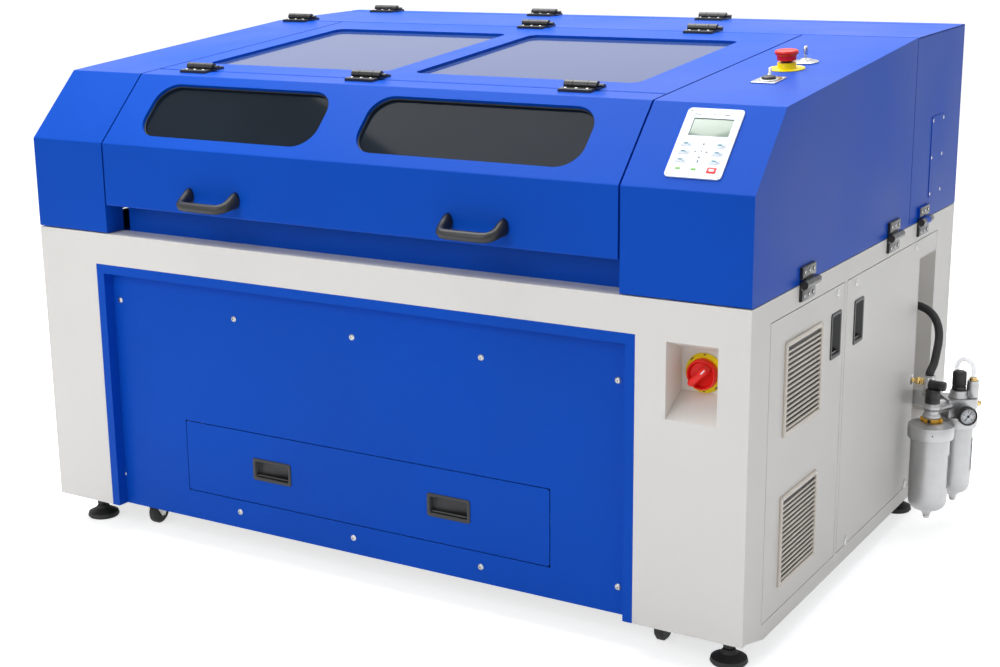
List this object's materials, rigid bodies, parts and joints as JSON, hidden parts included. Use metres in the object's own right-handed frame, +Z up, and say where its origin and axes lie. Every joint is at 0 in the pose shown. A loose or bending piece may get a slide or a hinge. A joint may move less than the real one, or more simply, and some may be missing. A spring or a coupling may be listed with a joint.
{
  "type": "laser engraver",
  "caption": "Floor-standing flatbed laser engraver: sheet-metal cabinet, hinged windowed hood, gantry over a lift table, drawer, side doors and air filters.",
  "frame": {"origin": "on the floor, under the middle of the overall box", "axes": "+X to the right of the operator who stands at the front, +Y from the front to the rear, +Z up"},
  "size_m": [1.9994, 1.4586, 1.217],
  "materials": {
    "blue_paint": "fine satin powder coat",
    "white_paint": "fine textured powder coat",
    "cream_paint": "satin enamel",
    "black_metal": "black satin coat",
    "frame_steel": "grey primer",
    "steel": "ground",
    "zinc": "bright zinc",
    "aluminium": "anodised",
    "cast_silver": "cast and painted silver",
    "brass": "turned",
    "black_plastic": "moulded",
    "yellow_plastic": "moulded",
    "red_plastic": "moulded",
    "panel_silver": "membrane",
    "black_rubber": "moulded",
    "dark_glass": "tinted",
    "blue_glass": "tinted",
    "tube_white": "housing"
  },
  "bodies": {
    "cabinet": {"front_frame": "white_paint", "left_side_panel": "white_paint", "right_side_frame": "white_paint", "rear_panel": "white_paint", "rear_hood": "blue_paint", "front_panel": "blue_paint", "base_frame": "frame_steel", "work_tub": "blue_paint", "rail_frames": "aluminium", "guide_columns": "steel", "laser_tube": "tube_white", "electronics_box": "zinc", "levelling_feet": "black_rubber", "chassis_hinges": "black_metal", "isolator_plate": "yellow_plastic", "filter_heads": "cast_silver", "filter_bowls": "cast_silver", "air_fittings": "brass", "air_hoses": "black_rubber", "pressure_gauge": "black_plastic"},
    "regulator": {"regulator_knob": "black_plastic"},
    "drain_valve": {"valve_wing": "yellow_plastic"},
    "isolator": {"isolator_knob": "red_plastic"},
    "rear_hood_cover": {"rear_cover": "blue_paint", "rear_cover_hinges": "black_metal"},
    "top_hood_lid": {"top_lid": "blue_paint", "top_windows": "blue_glass", "top_lid_hinges": "black_metal"},
    "front_hood_lid": {"front_lid": "blue_paint", "front_windows": "dark_glass", "lid_handles": "black_metal", "front_lid_hinges": "black_metal"},
    "left_hood_cover": {"left_cover": "blue_paint", "left_cover_hinge": "black_metal"},
    "right_hood_cover": {"right_cover": "blue_paint", "control_panel": "panel_silver", "right_cover_hinges": "black_metal", "switch_bases": "steel"},
    "emergency_stop": {"estop_head": "red_plastic"},
    "key_switch": {"laser_key": "steel"},
    "lever_switch": {"mode_lever": "black_plastic"},
    "rear_flap": {"right_rear_flap": "blue_paint"},
    "front_door": {"front_side_door": "white_paint", "front_door_vents": "cream_paint", "front_door_pull": "black_plastic"},
    "rear_door": {"rear_side_door": "white_paint", "rear_door_pull": "black_plastic"},
    "tool_drawer": {"drawer": "blue_paint", "drawer_pulls": "black_plastic"},
    "gantry": {"gantry_beam": "aluminium"},
    "laser_head": {"laser_carriage": "black_metal"},
    "table": {"lift_table": "aluminium"},
    "castor_fl": {"castor_fork_fl": "zinc"},
    "wheel_fl": {"castor_wheel_fl": "black_rubber"},
    "castor_fr": {"castor_fork_fr": "zinc"},
    "wheel_fr": {"castor_wheel_fr": "black_rubber"},
    "castor_rl": {"castor_fork_rl": "zinc"},
    "wheel_rl": {"castor_wheel_rl": "black_rubber"},
    "castor_rr": {"castor_fork_rr": "zinc"},
    "wheel_rr": {"castor_wheel_rr": "black_rubber"}
  },
  "joints": [
    {"name": "rear_cover_hinge", "type": "hinge", "parent": "cabinet", "child": "rear_hood_cover", "pos_m": [-0.08475, 0.61928, 1.20798], "axis": [-1, 0, 0], "range_deg": [0, 45]},
    {"name": "top_lid_hinge", "type": "hinge", "parent": "rear_hood_cover", "child": "top_hood_lid", "pos_m": [-0.08475, 0.28628, 1.19926], "axis": [-1, 0, 0], "range_deg": [0, 60]},
    {"name": "front_lid_hinge", "type": "hinge", "parent": "top_hood_lid", "child": "front_hood_lid", "pos_m": [-0.08475, -0.45872, 1.12884], "axis": [-1, 0, 0], "range_deg": [0, 100]},
    {"name": "left_cover_hinge", "type": "hinge", "parent": "rear_hood_cover", "child": "left_hood_cover", "pos_m": [-0.92975, 0.28628, 1.19926], "axis": [-1, 0, 0], "range_deg": [0, 60]},
    {"name": "right_cover_hinge", "type": "hinge", "parent": "cabinet", "child": "right_hood_cover", "pos_m": [0.83985, -0.17072, 0.753], "axis": [0, 1, 0], "range_deg": [0, 80]},
    {"name": "rear_flap_hinge", "type": "hinge", "parent": "cabinet", "child": "rear_flap", "pos_m": [0.83985, 0.38928, 0.753], "axis": [0, 1, 0], "range_deg": [0, 90]},
    {"name": "front_door_hinge", "type": "hinge", "parent": "cabinet", "child": "front_door", "pos_m": [0.82525, -0.56772, 0.4], "axis": [0, 0, -1], "range_deg": [0, 100]},
    {"name": "rear_door_lift_off", "type": "slide", "parent": "cabinet", "child": "rear_door", "axis": [1, 0, 0], "range_m": [0, 0.014]},
    {"name": "drawer_slide", "type": "slide", "parent": "cabinet", "child": "tool_drawer", "axis": [0, -1, 0], "range_m": [0, 0.4]},
    {"name": "isolator_turn", "type": "hinge", "parent": "cabinet", "child": "isolator", "pos_m": [0.70625, -0.61072, 0.598], "axis": [0, -1, 0], "range_deg": [0, 90]},
    {"name": "estop_push", "type": "slide", "parent": "right_hood_cover", "child": "emergency_stop", "axis": [0, 0.0941, -0.9956], "range_m": [0, 0.004], "stiffness_N_per_m": 600},
    {"name": "key_turn", "type": "hinge", "parent": "right_hood_cover", "child": "key_switch", "pos_m": [0.69525, -0.07072, 1.15592], "axis": [0, -0.0941, 0.9956], "range_deg": [0, 90]},
    {"name": "lever_turn", "type": "hinge", "parent": "right_hood_cover", "child": "lever_switch", "pos_m": [0.69725, -0.28572, 1.13559], "axis": [0, -0.0941, 0.9956], "range_deg": [0, 90]},
    {"name": "gantry_travel", "type": "slide", "parent": "cabinet", "child": "gantry", "axis": [0, -1, 0], "range_m": [0, 0.75]},
    {"name": "head_travel", "type": "slide", "parent": "gantry", "child": "laser_head", "axis": [1, 0, 0], "range_m": [0, 1.13]},
    {"name": "table_lift", "type": "slide", "parent": "cabinet", "child": "table", "axis": [0, 0, -1], "range_m": [0, 0.17]},
    {"name": "regulator_turn", "type": "hinge", "parent": "cabinet", "child": "regulator", "pos_m": [0.93925, 0.40428, 0.36], "axis": [0, 0, 1], "range_deg": [0, 360]},
    {"name": "drain_valve_turn", "type": "hinge", "parent": "cabinet", "child": "drain_valve", "pos_m": [0.90725, 0.29428, 0.292], "axis": [0, 0, 1], "range_deg": [0, 90]},
    {"name": "castor_fl_swivel", "type": "hinge", "parent": "cabinet", "child": "castor_fl", "pos_m": [-0.77975, -0.57872, 0.065], "axis": [0, 0, 1], "continuous": true},
    {"name": "wheel_fl_roll", "type": "hinge", "parent": "castor_fl", "child": "wheel_fl", "pos_m": [-0.77975, -0.56072, 0.0295], "axis": [1, 0, 0], "continuous": true},
    {"name": "castor_fr_swivel", "type": "hinge", "parent": "cabinet", "child": "castor_fr", "pos_m": [0.61025, -0.57872, 0.065], "axis": [0, 0, 1], "continuous": true},
    {"name": "wheel_fr_roll", "type": "hinge", "parent": "castor_fr", "child": "wheel_fr", "pos_m": [0.61025, -0.56072, 0.0295], "axis": [1, 0, 0], "continuous": true},
    {"name": "castor_rl_swivel", "type": "hinge", "parent": "cabinet", "child": "castor_rl", "pos_m": [-0.77975, 0.57728, 0.065], "axis": [0, 0, 1], "continuous": true},
    {"name": "wheel_rl_roll", "type": "hinge", "parent": "castor_rl", "child": "wheel_rl", "pos_m": [-0.77975, 0.59528, 0.0295], "axis": [1, 0, 0], "continuous": true},
    {"name": "castor_rr_swivel", "type": "hinge", "parent": "cabinet", "child": "castor_rr", "pos_m": [0.61025, 0.57728, 0.065], "axis": [0, 0, 1], "continuous": true},
    {"name": "wheel_rr_roll", "type": "hinge", "parent": "castor_rr", "child": "wheel_rr", "pos_m": [0.61025, 0.59528, 0.0295], "axis": [1, 0, 0], "continuous": true}
  ]
}
